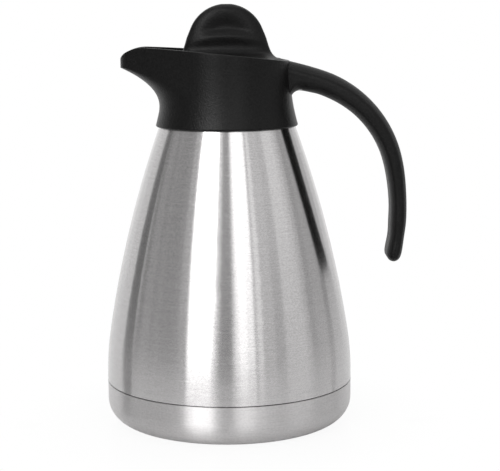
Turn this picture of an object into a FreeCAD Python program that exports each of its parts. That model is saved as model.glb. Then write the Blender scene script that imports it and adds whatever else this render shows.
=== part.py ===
import FreeCAD, Part
import math
import os
import re
import Sketcher

# Insulated jug: double-walled steel body, black collar with a spout, handle, screw stopper.
# Frame: origin on the floor under the body's axis, +Z up, handle towards +X, spout towards -X.
# All sizes are in millimetres.

SIZES = [
    # steel body
    ("shell_radius", "68", "outer radius of the body at the base"),
    ("steel_wall", "0.6", "thickness of every steel sheet"),
    ("base_corner", "13", "radius of the base's lower corner"),
    ("foot_width", "6", "width of the flat standing ring"),
    ("foot_recess", "2", "height of the bottom above the standing ring"),
    ("foot_slope", "3", "run of the slope between standing ring and bottom"),
    ("seam_height", "23", "top edge of the base cup"),
    ("seam_gap", "0.5", "open line between base cup and shell"),
    ("spigot_depth", "8", "part of the shell that stands inside the base cup"),
    ("spigot_fit", "0.1", "clearance of that part in the base cup"),
    ("wall_rise", "3.2", "height of the upright wall above the seam"),
    ("belly_height", "23.6", "height of the lower curve of the wall"),
    ("belly_radius", "155", "radius of the lower curve of the wall"),
    ("flank_radius", "605", "radius of the long flank"),
    ("flank_height", "113.7", "height of the long flank"),
    ("shoulder_rise", "5.5", "height of the shoulder under the collar"),
    ("shoulder_width", "5.86", "width of the shoulder, from the flank to the neck"),
    ("neck_length", "16.5", "length of the steel neck"),
    ("mouth_lip", "3.2", "width of the lip that joins neck and liner"),
    ("groove_drop", "9", "depth of the snap groove below the mouth"),
    ("groove_half", "0.9", "half the width of the groove's floor"),
    ("groove_depth", "0.6", "depth of the groove"),
    ("jacket_gap", "4", "space between shell and liner"),
    ("floor_lift", "7", "height of the liner's floor above the inner bottom"),
    ("liner_corner", "8", "radius of the liner's lower corner"),
    ("liner_rise", "5", "height of the liner's shoulder"),
    ("bottom_drop", "4", "depth of the inner bottom below the shell's spigot"),
    ("bottom_chamfer", "3", "slope at the edge of the inner bottom"),
    ("bottom_rim", "8", "height of the inner bottom's rim"),
    ("tip_hole", "1.2", "radius of the evacuation hole"),
    ("tip_cup", "7", "radius of the dimple round the hole"),
    ("tip_dimple", "1.4", "depth of the dimple"),
    ("tip_radius", "5.5", "radius of the sealing plug"),
    ("tip_thickness", "1.1", "thickness of the sealing plug"),
    ("tip_fit", "0.1", "clearance of the plug's stub in the hole"),
    ("getter_place", "28", "distance of the getter from the axis"),
    ("getter_radius", "6", "outer radius of the getter cup"),
    ("getter_wall", "0.5", "wall of the getter cup"),
    ("getter_height", "3.2", "height of the getter cup"),
    ("pellet_fit", "0.2", "clearance of the pellet in its cup"),
    ("pellet_height", "2.2", "height of the pellet"),
    # neck insert and gasket
    ("gasket_height", "1", "thickness of the neck gasket"),
    ("gasket_inset", "0.1", "gasket edge to the edges of the neck"),
    ("neck_fit", "0.2", "clearance of the insert round the neck"),
    ("skirt_drop", "4.6", "length of the insert below the groove"),
    ("skirt_wall", "1.7", "wall of the insert round the neck"),
    ("deck_height", "2", "thickness of the insert's deck"),
    ("ring_height", "7", "height of the threaded ring above the deck"),
    ("ring_wall", "1.7", "wall of the threaded ring"),
    ("thread_inset", "1.6", "threaded wall inside the outer face of the neck"),
    ("snap_half", "0.5", "half the width of the snap rib's crest"),
    ("snap_slope", "0.4", "run of the snap rib's flanks"),
    ("snap_crest", "0.3", "clearance of the snap rib to the groove's floor"),
    ("window_half", "15", "half the width of the window to the spout"),
    ("window_sill", "0.6", "height of the window's sill above the deck"),
    ("window_head", "1", "height of the ring left above the window"),
    # thread of insert and stopper
    ("thread_lead", "8", "rise of the stopper in one turn"),
    ("thread_rise", "4", "rise of one ridge from end to end"),
    ("thread_place", "1.5", "height of a ridge's lower end above the deck"),
    ("ridge_height", "1.3", "height of a ridge"),
    ("ridge_root", "1.5", "width of a ridge at its foot"),
    ("ridge_crest", "0.9", "width of a ridge at its crest"),
    ("ridge_sink", "0.3", "part of a ridge that is sunk in its wall"),
    ("thread_fit", "0.4", "radial clearance in the thread"),
    # collar
    ("lip_drop", "0.2", "depth of the collar's lower edge below the shoulder"),
    ("lip_wall", "1.5", "wall of the collar at its lower edge"),
    ("lip_round", "0.8", "rounding of the collar's lower edge"),
    ("lip_gap", "0.3", "clearance between collar edge and shell"),
    ("collar_skin", "1", "wall of the collar round the insert"),
    ("flare_power", "2.75", "exponent of the collar's flare"),
    ("flare_height", "41.2", "height over which the collar's flare dies out"),
    ("collar_wall", "2.8", "wall of the collar"),
    ("collar_fit", "0.2", "clearance of the insert in the collar"),
    ("hook_height", "1", "height of the hook under the insert"),
    ("hook_reach", "1", "reach of the hook under the insert"),
    ("hook_drop", "2.3", "height of the slope under the hook"),
    ("hook_wall", "1.2", "wall of the collar under the hook"),
    ("spout_rise", "7.2", "height of the spout's root above the collar's edge"),
    ("spout_height", "25", "height of the spout from its root to its lower corner"),
    ("spout_length", "23.1", "reach of the spout beyond the collar"),
    ("spout_margin", "0.3", "reach of the spout's foot beyond the collar"),
    ("spout_power", "2.35", "exponent of the spout's underside"),
    ("spout_nose", "9.55", "radius of the spout's tip in plan"),
    ("spout_wall", "1.2", "wall at the tip of the spout"),
    ("spout_floor", "3", "height of the channel above the underside"),
    ("rim_front_rise", "10.92", "height of the rim above the spout's lower corner"),
    ("tip_run", "14.7", "length of the rim's fall towards the pouring lip"),
    ("rim_rear_rise", "1.4", "height of the rim's rear end above the spout's lower corner"),
    ("rim_rear_reach", "10.6", "reach of the rim's line behind the collar"),
    ("rim_curve", "900", "radius of the rim seen from the side"),
    ("tip_rise", "3.6", "height of the pouring lip above the spout's lower corner"),
    ("tip_reach", "0.6", "reach of the rim's line in front of the spout"),
    ("tip_bend", "20", "radius of the first, gentle part of the fall"),
    ("tip_curve", "8.5", "radius of the last, steep part of the fall"),
    ("lip_run", "4.1", "length of the steep part of the fall"),
    ("lip_fall", "4.88", "height of the steep part of the fall"),
    ("rim_round", "0.5", "rounding of the rim"),
    # handle
    ("arch_inset", "1.9", "depth of the handle's root in the collar"),
    ("root_drop", "5.95", "depth of the handle's root below the spout's lower corner"),
    ("arch_radius", "60", "radius of the handle's arch"),
    ("arch_angle", "78", "angle where the arch meets the straighter grip"),
    ("grip_arc", "121", "radius of the straighter grip"),
    ("grip_angle", "101.4", "angle where the grip begins to round off"),
    ("root_depth", "13.5", "depth of the handle at its root, without the flare"),
    ("end_depth", "8.1", "depth of the handle at its lower end"),
    ("root_width", "20", "width of the handle at its root"),
    ("palm_width", "27", "width of the handle along the grip"),
    ("end_width", "25", "width of the handle at its lower end"),
    ("widen_share", "0.4", "share of the handle's length over which it widens"),
    ("root_flare", "10.8", "depth added under the handle where it meets the collar"),
    ("flare_share", "0.075", "share of the handle's length that is flared below"),
    ("root_lift", "2.3", "depth added above the handle where it meets the collar"),
    ("lift_share", "0.14", "share of the handle's length that is flared above"),
    ("side_flat", "0.12", "straight part of the handle's sides, as part of its depth"),
    ("side_round", "0.6", "radius of the handle's sides, as part of the rounded half depth"),
    ("root_crown", "1.4", "reach of the broad faces' rounding at the root, as multiple of its depth"),
    ("palm_crown", "2", "reach of the broad faces' rounding along the grip, as multiple of its depth"),
    ("handle_tip", "5", "length of the handle's rounded end"),
    ("tip_square", "2", "narrowing of the end across the handle, as multiple of that in depth"),
    ("handle_point", "0.3", "smallest half depth at the very end"),
    ("cover_depth", "1.9", "thickness of the handle cover"),
    ("cover_edge", "7.5", "handle's edge beside the cover"),
    ("cover_fit", "0.15", "clearance of the cover in the handle"),
    ("cover_ledge", "1.2", "ledge that the cover rests on"),
    ("core_wall", "2.6", "wall behind the hollow of the handle"),
    ("screw_drop", "1.4", "depth of the handle screws below the mouth"),
    ("screw_spread", "5", "distance of each handle screw from the middle"),
    ("screw_shank", "1.2", "radius of the handle screws"),
    ("screw_head", "2.2", "head radius of the handle screws"),
    ("screw_head_depth", "1.5", "head height of the handle screws"),
    ("screw_length", "11", "shank length of the handle screws"),
    ("screw_fit", "0.1", "clearance round screw shanks and under their heads"),
    ("seat_half", "8.5", "half the width of the seat for the screws' heads"),
    ("seat_drop", "3.6", "depth of that seat below the screws' middle"),
    # stopper
    ("plug_gap", "0.6", "clearance of the stopper above the threaded ring"),
    ("plug_plate", "2", "thickness of the plug's top plate"),
    ("plug_wall", "1.8", "wall of the threaded part of the plug"),
    ("seal_height", "3.7", "height of the groove for the seal"),
    ("seal_thickness", "1.1", "thickness of the seal between its lips"),
    ("plug_neck_wall", "2", "wall of the plug inside the seal"),
    ("seal_fit", "0.2", "clearance of the seal to the turning parts"),
    ("seal_gap", "0.2", "clearance of the seal's lips in the mouth"),
    ("seal_lip_depth", "0.6", "depth of the lips"),
    ("seal_lip", "0.8", "height of each lip"),
    ("base_gap", "0.8", "clearance of the plug's lower cover in the mouth"),
    ("base_plate", "1.8", "thickness of the lower cover"),
    ("base_depth", "3.3", "height of the lower cover"),
    ("base_round", "2.2", "rounding of the lower cover"),
    ("base_spigot", "2.2", "height of the spigot inside the plug"),
    ("base_spigot_wall", "1.7", "wall of that spigot"),
    ("base_fit", "0.2", "clearance of that spigot"),
    ("foam_fit", "0.3", "clearance round the insulation"),
    ("foam_gap", "2.2", "free height above the insulation"),
    ("disc_gap", "1.7", "clearance of the stopper's disc in the collar"),
    ("disc_height", "2.8", "height of the disc's upright edge"),
    ("disc_rise", "1", "height of the rounding of the disc's edge"),
    ("disc_round", "0.9", "width of that rounding"),
    ("grip_lift", "8.5", "centre of the grip's round top above the disc"),
    ("grip_radius", "21", "radius of the grip's round top"),
    ("grip_splay", "0.42", "splay of the grip's ends"),
    ("grip_join_lift", "11.4", "height above the disc where the splay eases off"),
    ("grip_ease", "0.28", "splay below that height"),
    ("grip_margin", "0.6", "edge of the disc round the grip's foot"),
    ("grip_sink", "0.3", "depth of the grip's foot in the disc"),
    ("grip_flare_rise", "2", "height over which the grip's ends flare into the disc"),
    ("grip_face_rise", "1.5", "height over which the faces flare into the disc"),
    ("grip_waist", "5.6", "half thickness of the grip above the disc"),
    ("grip_swell", "1.1", "swell of the faces at the ridge"),
    ("grip_ridge_lift", "11.6", "height of the ridge across the faces above the disc"),
    ("grip_ridge_span", "3.2", "spread of the ridge"),
    ("grip_bow", "2.6", "fall of the ridge from its middle to the grip's ends"),
    ("grip_crown", "4.6", "half thickness of the grip near its top"),
    ("grip_crown_lift", "13.6", "height above the disc where the faces begin to close in"),
    ("grip_round_drop", "4.4", "height of the rounding at the grip's top"),
    ("grip_dish", "0.34", "depth of the dished faces, as part of the thickness"),
    ("grip_dish_rim", "4.2", "width of the rim round the dished faces"),
    ("grip_dish_slope", "8.5", "run of the slope from the rim into the dish"),
    ("grip_dish_step", "4.4", "run of the slope from the ridge up into the dish"),
    ("grip_dish_lift", "12.4", "lower edge of the dished faces above the disc"),
    ("grip_square", "2.5", "squareness of the grip in plan"),
    ("oring_inset", "4.4", "distance of the ring under the disc from its edge"),
    ("oring_thickness", "0.7", "section radius of that ring"),
    ("oring_fit", "0.1", "clearance of that ring in its groove"),
    ("cap_screw_spread", "12", "distance of the stopper screws from the axis"),
    ("cap_screw_shank", "1.5", "radius of the stopper screws"),
    ("cap_screw_head", "2.8", "head radius of the stopper screws"),
    ("cap_screw_head_depth", "1.6", "head height of the stopper screws"),
    ("cap_screw_length", "11", "shank length of the stopper screws"),
]

doc = FreeCAD.newDocument("vacuum_jug")
sheet = doc.addObject("Spreadsheet::Sheet", "Sizes")
for row, (alias, number, meaning) in enumerate(SIZES, 1):
    sheet.set(f"A{row}", meaning)
    sheet.set(f"B{row}", number)
    sheet.setAlias(f"B{row}", alias)
doc.recompute()

# Places and radii that follow from the sizes above.
DERIVED = {
    "shell_foot": "seam_height + seam_gap",
    "wall_top": "shell_foot + wall_rise",
    "belly_top": "wall_top + belly_height",
    "shoulder_height": "belly_top + flank_height",
    "belly_lean": "belly_height / belly_radius",
    "belly_run": "sqrt(1 - belly_lean^2)",
    "belly_end": "shell_radius - belly_radius * (1 - belly_run)",
    "flank_centre": "belly_end - flank_radius * belly_run",
    "flank_level": "belly_top - flank_radius * belly_lean",
    "shoulder_edge": "flank_centre + sqrt(flank_radius^2 - (shoulder_height - flank_level)^2)",
    "neck_radius": "shoulder_edge - shoulder_width",
    "neck_foot": "shoulder_height + shoulder_rise",
    "mouth_height": "neck_foot + neck_length",
    "groove_height": "mouth_height - groove_drop",
    "liner_shoulder": "shoulder_height - jacket_gap",
    "liner_neck": "liner_shoulder + liner_rise",
    "spigot_foot": "seam_height - spigot_depth",
    "bottom_height": "spigot_foot - bottom_drop",
    "floor_height": "bottom_height + floor_lift",
    "mouth_bore": "neck_radius - mouth_lip",
    "thread_root": "neck_radius - thread_inset",
    "skirt_bore": "neck_radius + neck_fit",
    "skirt_radius": "skirt_bore + skirt_wall",
    "skirt_foot": "groove_height - skirt_drop",
    "deck_under": "mouth_height + gasket_height",
    "deck_top": "deck_under + deck_height",
    "ring_top": "deck_top + ring_height",
    "thread_start": "deck_top + thread_place",
    "insert_bore": "skirt_radius + collar_fit",
    "collar_radius": "insert_bore + collar_skin",
    "collar_inside": "collar_radius - collar_wall",
    "lip_height": "shoulder_height - lip_drop",
    "flare_top": "lip_height + flare_height",
    "spout_start": "lip_height + spout_rise",
    "spout_edge": "spout_start + spout_height",
    "spout_reach": "spout_margin + spout_length",
    "spout_taper": "(collar_radius - spout_nose) / (collar_radius - spout_nose + spout_reach)",
    "rim_front": "spout_edge + rim_front_rise",
    "rim_rear": "spout_edge + rim_rear_rise",
    "rim_rear_place": "collar_radius + rim_rear_reach",
    "tip_height": "spout_edge + tip_rise",
    "tip_place": "collar_radius + spout_reach + tip_reach",
    "rim_front_place": "tip_place - tip_run",
    "arch_place": "collar_radius - arch_inset",
    "arch_height": "spout_edge - root_drop - arch_radius",
    "screw_height": "mouth_height - screw_drop",
    "seat_low": "screw_height - seat_drop",
    "plug_top": "ring_top + plug_gap",
    "plug_under": "plug_top - plug_plate",
    "plug_step": "deck_under",
    "plug_foot": "plug_step - seal_height",
    "seal_radius": "mouth_bore - seal_gap",
    "seal_body": "seal_radius - seal_lip_depth",
    "plug_neck": "seal_body - seal_thickness",
    "base_flange": "mouth_bore - base_gap",
    "foam_top": "plug_under - foam_gap",
    "disc_radius": "collar_inside - disc_gap",
    "disc_edge": "plug_top + disc_height",
    "disc_top": "disc_edge + disc_rise",
    "disc_shoulder": "disc_radius - disc_round",
    "oring_radius": "disc_radius - oring_inset",
    "grip_foot": "disc_shoulder - grip_margin",
    "grip_centre": "disc_top + grip_lift",
    "grip_join": "disc_top + grip_join_lift",
    "grip_ridge": "disc_top + grip_ridge_lift",
    "grip_crown_start": "disc_top + grip_crown_lift",
    "grip_round_start": "grip_centre + grip_radius - grip_round_drop",
    "grip_dish_foot": "disc_top + grip_dish_lift",
    "grip_dish_radius": "grip_radius - grip_dish_rim",
}

ALIAS = re.compile(r"\b(" + "|".join(alias for alias, number, meaning in SIZES) + r")\b")
FOLLOWER = re.compile(r"\b(" + "|".join(DERIVED) + r")\b")


def ref(text):
    """Turn words of the size list, and words that follow from it, into references to its cells."""
    while FOLLOWER.search(text):
        text = FOLLOWER.sub(lambda word: f"({DERIVED[word[0]]})", text)
    return ALIAS.sub(r"Sizes.\1", text)


def size(text):
    """Number that an expression in words of the size list comes to."""
    return float(sheet.evalExpression(ref(text)))


def origin_plane(body, role):
    return next(item for item in body.Origin.OriginFeatures if item.Role == role)


def new_body(label):
    body = doc.addObject("PartDesign::Body", label)
    body.Label = label
    return body


def arc_through(start, end, radius):
    """Arc of less than half a turn from start to end; a negative radius bends to the right."""
    chord = end - start
    left = FreeCAD.Vector(-chord.y, chord.x, 0).normalize()
    depth = math.sqrt(max(radius * radius - chord.Length ** 2 / 4, 0))
    centre = (start + end) / 2 + left * math.copysign(depth, radius)
    first, last = (start, end) if radius > 0 else (end, start)
    first_angle = math.atan2(first.y - centre.y, first.x - centre.x)
    last_angle = math.atan2(last.y - centre.y, last.x - centre.x)
    circle = Part.Circle(centre, FreeCAD.Vector(0, 0, 1), abs(radius))
    return Part.ArcOfCircle(circle, first_angle, last_angle)


def outline(body, name, role, points):
    """Closed sketch through points; a point's third entry is the radius of the arc that leaves it."""
    sketch = body.newObject("Sketcher::SketchObject", name)
    sketch.AttachmentSupport = (origin_plane(body, role), [""])
    sketch.MapMode = "FlatFace"
    places = [FreeCAD.Vector(size(point[0]), size(point[1]), 0) for point in points]
    count = len(points)
    ends = []
    for index, point in enumerate(points):
        start = places[index]
        end = places[(index + 1) % count]
        if len(point) == 2:
            sketch.addGeometry(Part.LineSegment(start, end))
            ends.append((1, 2))
        else:
            radius = size(point[2])
            sketch.addGeometry(arc_through(start, end, radius))
            ends.append((1, 2) if radius > 0 else (2, 1))
    for index, point in enumerate(points):
        following = (index + 1) % count
        join = Sketcher.Constraint("Coincident", index, ends[index][1], following, ends[following][0])
        sketch.addConstraint(join)
        place = places[index]
        across = (-2, "DistanceX", point[0], place.x)
        upward = (-1, "DistanceY", point[1], place.y)
        for axis, kind, text, number in (across, upward):
            if abs(number) < 1e-9:
                sketch.addConstraint(Sketcher.Constraint("PointOnObject", index, ends[index][0], axis))
            else:
                distance = Sketcher.Constraint(kind, -1, 1, index, ends[index][0], number)
                rule = sketch.addConstraint(distance)
                sketch.setExpression(f"Constraints[{rule}]", ref(text))
        if len(point) == 3:
            rule = sketch.addConstraint(Sketcher.Constraint("Radius", index, abs(size(point[2]))))
            sketch.setExpression(f"Constraints[{rule}]", ref(f"abs({point[2]})"))
    return sketch


def turn(body, name, points):
    """Revolve an outline of (radius, height) points about the body's Z axis."""
    sketch = outline(body, name + "_outline", "XZ_Plane", points)
    feature = body.newObject("PartDesign::Revolution", name)
    feature.Profile = sketch
    feature.ReferenceAxis = (sketch, ["V_Axis"])
    feature.Angle = 360
    doc.recompute()
    return feature


def turned_body(label, points):
    body = new_body(label)
    turn(body, label + "_turn", points)
    return body


def loft(body, name, sketches):
    feature = body.newObject("PartDesign::AdditiveLoft", name)
    feature.Profile = sketches[0]
    feature.Sections = sketches[1:]
    feature.Ruled = False
    doc.recompute()
    return feature


def pad(body, name, sketch, length):
    feature = body.newObject("PartDesign::Pad", name)
    feature.Profile = sketch
    feature.setExpression("Length", ref(length))
    doc.recompute()
    return feature


def move(item, x="0", y="0", z="0"):
    for axis, text in (("x", x), ("y", y), ("z", z)):
        item.setExpression(f".Placement.Base.{axis}", ref(text))


def cylinder(label, radius, length, x="0", y="0", z="0"):
    item = doc.addObject("Part::Cylinder", label)
    item.Label = label
    item.setExpression("Radius", ref(radius))
    item.setExpression("Height", ref(length))
    move(item, x, y, z)
    return item


def lying_cylinder(label, radius, length, x, y, z):
    """Cylinder along +X."""
    item = cylinder(label, radius, length)
    item.Placement.Rotation = FreeCAD.Rotation(FreeCAD.Vector(0, 1, 0), 90)
    move(item, x, y, z)
    return item


def box(label, low, high):
    item = doc.addObject("Part::Box", label)
    for name, first, last in zip(("Length", "Width", "Height"), low, high):
        item.setExpression(name, ref(f"({last}) - ({first})"))
    move(item, *low)
    return item


def joined(label, items):
    item = doc.addObject("Part::MultiFuse", label)
    item.Shapes = items
    return item


def cut(label, base, tool):
    item = doc.addObject("Part::Cut", label)
    item.Label = label
    item.Base = base
    item.Tool = tool
    doc.recompute()
    return item


def common(label, base, tool):
    item = doc.addObject("Part::Common", label)
    item.Label = label
    item.Base = base
    item.Tool = tool
    doc.recompute()
    return item


def flank(height):
    """Outer radius of the steel wall at a height on the long flank."""
    return f"(flank_centre + sqrt(flank_radius^2 - ({height} - flank_level)^2))"


# Steel body.
spigot_radius = "(shell_radius - steel_wall - spigot_fit)"
groove_low = "(groove_height - groove_half)"
groove_high = "(groove_height + groove_half)"
shell_shoulder = "(shoulder_height - steel_wall)"
neck_edge = "(mouth_height - steel_wall)"

outer_shell = turned_body("outer_shell", [
    (f"{spigot_radius} - steel_wall", "spigot_foot"),
    (spigot_radius, "spigot_foot"),
    (spigot_radius, "shell_foot"),
    ("shell_radius", "shell_foot"),
    ("shell_radius", "wall_top", "belly_radius"),
    ("belly_end", "belly_top", "flank_radius"),
    ("shoulder_edge", "shoulder_height"),
    ("neck_radius", "neck_foot"),
    ("neck_radius", f"{groove_low} - groove_depth"),
    ("neck_radius - groove_depth", groove_low),
    ("neck_radius - groove_depth", groove_high),
    ("neck_radius", f"{groove_high} + groove_depth"),
    ("neck_radius", neck_edge),
    ("neck_radius - steel_wall", neck_edge),
    ("neck_radius - steel_wall", f"{groove_high} + groove_depth"),
    ("neck_radius - steel_wall - groove_depth", groove_high),
    ("neck_radius - steel_wall - groove_depth", groove_low),
    ("neck_radius - steel_wall", f"{groove_low} - groove_depth"),
    ("neck_radius - steel_wall", "neck_foot - steel_wall"),
    (f"{flank(shell_shoulder)} - steel_wall", shell_shoulder, "-flank_radius"),
    ("belly_end - steel_wall", "belly_top", "-belly_radius"),
    ("shell_radius - steel_wall", "wall_top"),
    ("shell_radius - steel_wall", "shell_foot + steel_wall"),
    (f"{spigot_radius} - steel_wall", "shell_foot + steel_wall"),
])

foot_outer = "(shell_radius - base_corner)"
foot_inner = f"({foot_outer} - foot_width)"
base_cup = turned_body("base_cup", [
    ("0", "foot_recess"),
    (f"{foot_inner} - foot_slope", "foot_recess"),
    (foot_inner, "0"),
    (foot_outer, "0", "base_corner"),
    ("shell_radius", "base_corner"),
    ("shell_radius", "seam_height"),
    ("shell_radius - steel_wall", "seam_height"),
    ("shell_radius - steel_wall", "base_corner", "steel_wall - base_corner"),
    (foot_outer, "steel_wall"),
    (foot_inner, "steel_wall"),
    (f"{foot_inner} - foot_slope", "foot_recess + steel_wall"),
    ("0", "foot_recess + steel_wall"),
])

liner_offset = "(steel_wall + jacket_gap)"
liner_radius = f"(shell_radius - {liner_offset})"
liner_bottom = "(floor_height - steel_wall)"
liner_edge = f"({flank('liner_shoulder')} - {liner_offset})"
inner_vessel = turned_body("inner_vessel", [
    ("0", liner_bottom),
    (f"{liner_radius} - liner_corner", liner_bottom, "liner_corner"),
    (liner_radius, f"{liner_bottom} + liner_corner"),
    (liner_radius, "wall_top", "belly_radius"),
    (f"belly_end - {liner_offset}", "belly_top", "flank_radius"),
    (liner_edge, "liner_shoulder"),
    ("mouth_bore + steel_wall", "liner_neck"),
    ("mouth_bore + steel_wall", neck_edge),
    ("neck_radius", neck_edge),
    ("neck_radius", "mouth_height"),
    ("mouth_bore", "mouth_height"),
    ("mouth_bore", "liner_neck - steel_wall / 2"),
    (f"{liner_edge} - steel_wall", "liner_shoulder - steel_wall / 2", "-flank_radius"),
    (f"belly_end - {liner_offset} - steel_wall", "belly_top", "-belly_radius"),
    (f"{liner_radius} - steel_wall", "wall_top"),
    (f"{liner_radius} - steel_wall", f"{liner_bottom} + liner_corner", "steel_wall - liner_corner"),
    (f"{liner_radius} - liner_corner", "floor_height"),
    ("0", "floor_height"),
])

bottom_edge = f"({spigot_radius} - steel_wall)"
bottom_top = "(bottom_height + steel_wall)"
dimple_top = "(bottom_height + tip_dimple)"
vacuum_bottom = turned_body("vacuum_bottom", [
    ("tip_hole", dimple_top),
    ("tip_cup", dimple_top),
    ("tip_cup + tip_dimple", "bottom_height"),
    (f"{bottom_edge} - bottom_chamfer", "bottom_height"),
    (bottom_edge, "bottom_height + bottom_chamfer"),
    (bottom_edge, "bottom_height + bottom_rim"),
    (f"{bottom_edge} - steel_wall", "bottom_height + bottom_rim"),
    (f"{bottom_edge} - steel_wall", f"{bottom_top} + bottom_chamfer - steel_wall / 2"),
    (f"{bottom_edge} - bottom_chamfer - steel_wall / 2", bottom_top),
    ("tip_cup + tip_dimple + steel_wall / 2", bottom_top),
    ("tip_cup + steel_wall / 2", f"{dimple_top} + steel_wall"),
    ("tip_hole", f"{dimple_top} + steel_wall"),
])

seal_tip = turned_body("seal_tip", [
    ("0", f"{dimple_top} - tip_thickness"),
    ("tip_radius", f"{dimple_top} - tip_thickness"),
    ("tip_radius", dimple_top),
    ("tip_hole - tip_fit", dimple_top),
    ("tip_hole - tip_fit", f"{dimple_top} + steel_wall"),
    ("0", f"{dimple_top} + steel_wall"),
])

getter_cup = turned_body("getter_cup", [
    ("0", bottom_top),
    ("getter_radius", bottom_top),
    ("getter_radius", f"{bottom_top} + getter_height"),
    ("getter_radius - getter_wall", f"{bottom_top} + getter_height"),
    ("getter_radius - getter_wall", f"{bottom_top} + getter_wall"),
    ("0", f"{bottom_top} + getter_wall"),
])
move(getter_cup, x="getter_place")
getter_pellet = cylinder("getter_pellet", "getter_radius - getter_wall - pellet_fit", "pellet_height",
                         x="getter_place", z=f"{bottom_top} + getter_wall")

# Gasket and threaded insert on the neck.
ring_radius = "(thread_root + ring_wall)"
snap_radius = "(neck_radius - groove_depth + snap_crest)"

neck_gasket = turned_body("neck_gasket", [
    ("thread_root + gasket_inset", "mouth_height"),
    ("neck_radius - gasket_inset", "mouth_height"),
    ("neck_radius - gasket_inset", "deck_under"),
    ("thread_root + gasket_inset", "deck_under"),
])


def ridge(body, name, wall, crest, middle):
    """Two-start right-hand ridge on a wall of the given radius; the crest may lie inside or outside it."""
    sink = f"({wall} - ridge_sink)" if size(crest) > size(wall) else f"({wall} + ridge_sink)"
    tooth = outline(body, name + "_tooth", "XZ_Plane", [
        (sink, f"{middle} - ridge_root / 2"),
        (wall, f"{middle} - ridge_root / 2"),
        (crest, f"{middle} - ridge_crest / 2"),
        (crest, f"{middle} + ridge_crest / 2"),
        (wall, f"{middle} + ridge_root / 2"),
        (sink, f"{middle} + ridge_root / 2"),
    ])
    doc.recompute()
    helix = body.newObject("PartDesign::AdditiveHelix", name)
    helix.Profile = tooth
    helix.ReferenceAxis = (tooth, ["V_Axis"])
    helix.Mode = 0
    helix.setExpression("Pitch", ref("thread_lead"))
    helix.setExpression("Height", ref("thread_rise"))
    doc.recompute()
    pair = body.newObject("PartDesign::PolarPattern", name + "_pair")
    pair.Originals = [helix]
    pair.Axis = (tooth, ["V_Axis"])
    pair.Angle = 360
    pair.Occurrences = 2
    body.Tip = pair
    doc.recompute()


def side_pocket(body, name, towards_handle, half_width, low, high):
    """Rectangular opening cut from the axis outwards through the side of a body."""
    sketch = outline(body, name + "_outline", "YZ_Plane", [
        (f"-({half_width})", low),
        (half_width, low),
        (half_width, high),
        (f"-({half_width})", high),
    ])
    feature = body.newObject("PartDesign::Pocket", name)
    feature.Profile = sketch
    feature.Type = "ThroughAll"
    feature.Reversed = towards_handle
    doc.recompute()


neck_insert = turned_body("neck_insert", [
    ("skirt_bore", "skirt_foot"),
    ("skirt_radius", "skirt_foot"),
    ("skirt_radius", "deck_top"),
    (ring_radius, "deck_top"),
    (ring_radius, "ring_top"),
    ("thread_root", "ring_top"),
    ("thread_root", "deck_under"),
    ("skirt_bore", "deck_under"),
    ("skirt_bore", "groove_height + snap_half + snap_slope"),
    (snap_radius, "groove_height + snap_half"),
    (snap_radius, "groove_height - snap_half"),
    ("skirt_bore", "groove_height - snap_half - snap_slope"),
])
ridge(neck_insert, "insert_ridge", "thread_root", "(thread_root - ridge_height)", "thread_start")
side_pocket(neck_insert, "spout_window", False, "window_half",
            "deck_top + window_sill", "ring_top - window_head")
side_pocket(neck_insert, "screw_window", True, "seat_half", "seat_low", "deck_under")


# Collar with the spout.
lip_bore = f"({flank('lip_height')} + lip_gap)"
lip_radius = f"({lip_bore} + lip_wall)"


def collar_outside(height):
    """Outer radius of the collar at a height."""
    fall = f"(max(flare_top - ({height}); 0) / flare_height)"
    return f"(collar_radius + ({lip_radius} - collar_radius) * {fall} ^ flare_power)"


def spout_throw(height):
    """Reach of the spout beyond the round collar at a height."""
    rise = f"(min(max({height} - spout_start; 0) / spout_height; 1))"
    return f"(spout_margin + spout_length * {rise} ^ spout_power)"


def teardrop(body, name, height, radius, throw):
    """Level section: a circle with a rounded tip towards -X, joined by straight sides."""
    reach = f"({throw} / (1 - spout_taper))"
    tip = f"({radius} - spout_taper * {reach})"
    across = "sqrt(1 - spout_taper^2)"
    sketch = outline(body, name, "XY_Plane", [
        (f"-{radius} * spout_taper", f"-{radius} * {across}", radius),
        (radius, "0", radius),
        (f"-{radius} * spout_taper", f"{radius} * {across}"),
        (f"-{reach} - {tip} * spout_taper", f"{tip} * {across}", tip),
        (f"-{reach} - {tip} * spout_taper", f"-{tip} * {across}"),
    ])
    sketch.setExpression(".AttachmentOffset.Base.z", ref(height))
    return sketch


def between(low, high, share):
    return f"({low} + ({high} - {low}) * {share})"


collar_blank = new_body("collar_blank")
collar_sections = []
for index, share in enumerate((0, 0.12, 0.24, 0.36, 0.48, 0.6, 0.72, 0.82, 0.91, 1)):
    level = between("lip_height", "spout_edge", share)
    name = f"collar_section_{index}"
    collar_sections.append(teardrop(collar_blank, name, level, collar_outside(level), spout_throw(level)))
loft(collar_blank, "collar_flare", collar_sections)
pad(collar_blank, "collar_upper", collar_sections[-1], "rim_front_rise + rim_round * 2")
rim_cut_outline = outline(collar_blank, "rim_outline", "XZ_Plane", [
    ("rim_rear_place", "rim_rear", "rim_curve"),
    ("-rim_front_place", "rim_front", "tip_bend"),
    ("lip_run - tip_place", "tip_height + lip_fall", "tip_curve"),
    ("-tip_place", "tip_height"),
    ("-tip_place - collar_radius", "tip_height"),
    ("-tip_place - collar_radius", "rim_front + collar_radius"),
    ("rim_rear_place", "rim_front + collar_radius"),
])
rim_cut = collar_blank.newObject("PartDesign::Pocket", "rim_cut")
rim_cut.Profile = rim_cut_outline
rim_cut.Type = "ThroughAll"
rim_cut.Midplane = True
doc.recompute()

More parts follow.
